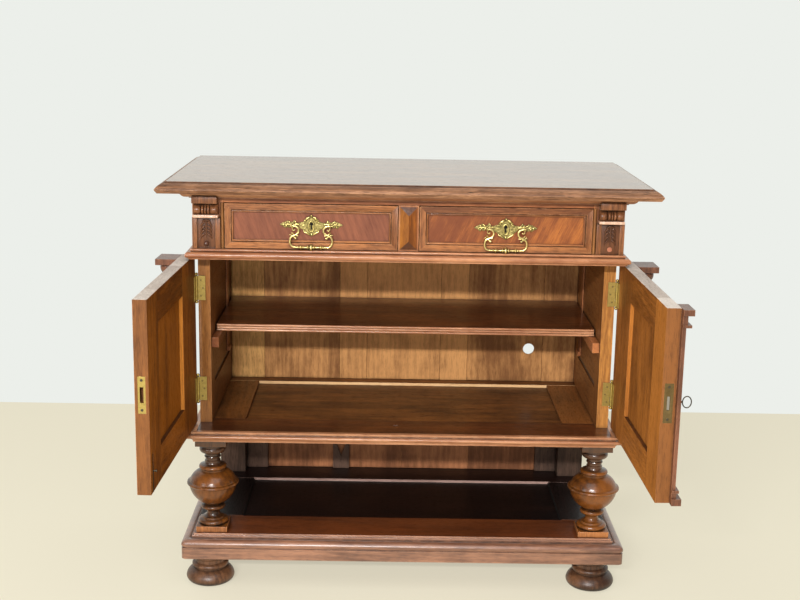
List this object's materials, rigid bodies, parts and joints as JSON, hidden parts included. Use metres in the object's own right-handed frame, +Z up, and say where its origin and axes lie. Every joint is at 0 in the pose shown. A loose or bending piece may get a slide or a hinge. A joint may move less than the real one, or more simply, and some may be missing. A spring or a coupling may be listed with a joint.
{
  "type": "parlour cabinet",
  "caption": "Wooden parlour cabinet: open stage on turned balusters and bun feet, cupboard with hinged panel doors and a shelf, drawers with brass bail handles, moulded top.",
  "frame": {"origin": "on the floor under the middle of the cabinet as it stands with its doors open", "axes": "+X to the right for someone facing the front, +Y to the back, +Z up"},
  "size_m": [1.2267, 0.9843, 1.051],
  "materials": {
    "top_wood": "stained and waxed",
    "case_wood": "stained and waxed",
    "inner_wood": "bare, dry",
    "dark_wood": "stained and waxed",
    "base_wood": "stained and waxed",
    "door_wood": "stained and waxed",
    "drawer_wood": "stained and waxed",
    "brass": "polished, darkened in the recesses",
    "iron": "aged, worn bright"
  },
  "bodies": {
    "case": {"top_board": "top_wood", "bed_moulding": "case_wood", "drawer_stage_boards": "case_wood", "frieze_rail": "case_wood", "drawer_divider": "case_wood", "left_console": "case_wood", "right_console": "case_wood", "console_carvings": "case_wood", "waist_board": "case_wood", "left_side_frame": "case_wood", "right_side_frame": "case_wood", "left_side_panel": "case_wood", "right_side_panel": "case_wood", "lower_moulding": "case_wood", "drawer_guides": "inner_wood", "back_uprights": "inner_wood", "plain_back_panels": "inner_wood", "holed_back_panel": "inner_wood", "lower_back_boards": "inner_wood", "shelf": "dark_wood", "shelf_battens": "dark_wood", "floor_frame": "dark_wood", "floor_panel": "dark_wood", "left_baluster": "dark_wood", "right_baluster": "dark_wood", "rear_posts": "dark_wood", "lower_back_frame": "dark_wood", "plinth_frame": "dark_wood", "plinth_panel": "dark_wood", "bun_feet": "dark_wood", "plinth_fascia": "base_wood", "plinth_blocks": "base_wood", "case_hinge_leaves": "brass"},
    "left_door": {"left_door_frame": "door_wood", "left_door_panel": "door_wood", "left_column": "dark_wood", "left_door_hinges": "brass", "strike_plate": "brass"},
    "right_door": {"right_door_frame": "door_wood", "right_door_panel": "door_wood", "right_column": "dark_wood", "right_door_hinges": "brass", "centre_pilaster": "dark_wood", "door_lock": "iron"},
    "left_drawer": {"left_drawer_front": "drawer_wood", "left_drawer_box": "inner_wood", "left_drawer_bottom": "inner_wood", "left_drawer_lock": "iron", "left_handle_plate": "brass"},
    "right_drawer": {"right_drawer_front": "drawer_wood", "right_drawer_box": "inner_wood", "right_drawer_bottom": "inner_wood", "right_drawer_lock": "iron", "right_handle_plate": "brass"},
    "left_bail": {"left_handle_bail": "brass"},
    "right_bail": {"right_handle_bail": "brass"},
    "flush_bolt": {"flush_bolt": "brass"},
    "lock_bolt": {"lock_bolt": "iron"},
    "key": {"door_key": "iron"}
  },
  "joints": [
    {"name": "left_door_hinge", "type": "hinge", "parent": "case", "child": "left_door", "pos_m": [-0.526, 0.0505, 0.6375], "axis": [0, 0, 1], "range_deg": [-72.5, 92.5]},
    {"name": "right_door_hinge", "type": "hinge", "parent": "case", "child": "right_door", "pos_m": [0.526, 0.0505, 0.6375], "axis": [0, 0, 1], "range_deg": [-91, 74]},
    {"name": "left_drawer_slide", "type": "slide", "parent": "case", "child": "left_drawer", "axis": [0, -1, 0], "range_m": [0, 0.36]},
    {"name": "right_drawer_slide", "type": "slide", "parent": "case", "child": "right_drawer", "axis": [0, -1, 0], "range_m": [0, 0.36]},
    {"name": "left_bail_swing", "type": "hinge", "parent": "left_drawer", "child": "left_bail", "pos_m": [-0.2355, -0.0305, 0.942], "axis": [-1, 0, 0], "range_deg": [0, 95]},
    {"name": "right_bail_swing", "type": "hinge", "parent": "right_drawer", "child": "right_bail", "pos_m": [0.2355, -0.0305, 0.942], "axis": [-1, 0, 0], "range_deg": [0, 95]},
    {"name": "flush_bolt_slide", "type": "slide", "parent": "left_door", "child": "flush_bolt", "axis": [0, 0, -1], "range_m": [0, 0.014]},
    {"name": "key_turn", "type": "hinge", "parent": "right_door", "child": "key", "pos_m": [0.56795, -0.46185, 0.646], "axis": [0.9998, 0.0175, 0], "range_deg": [0, 180]},
    {"name": "lock_bolt_slide", "type": "slide", "parent": "right_door", "child": "lock_bolt", "axis": [0.0175, -0.9998, 0], "range_m": [0, 0.009]}
  ],
  "couplings": [
    {"joint": "lock_bolt_slide", "follows": "key_turn", "m_per_rad": 0.002864}
  ]
}
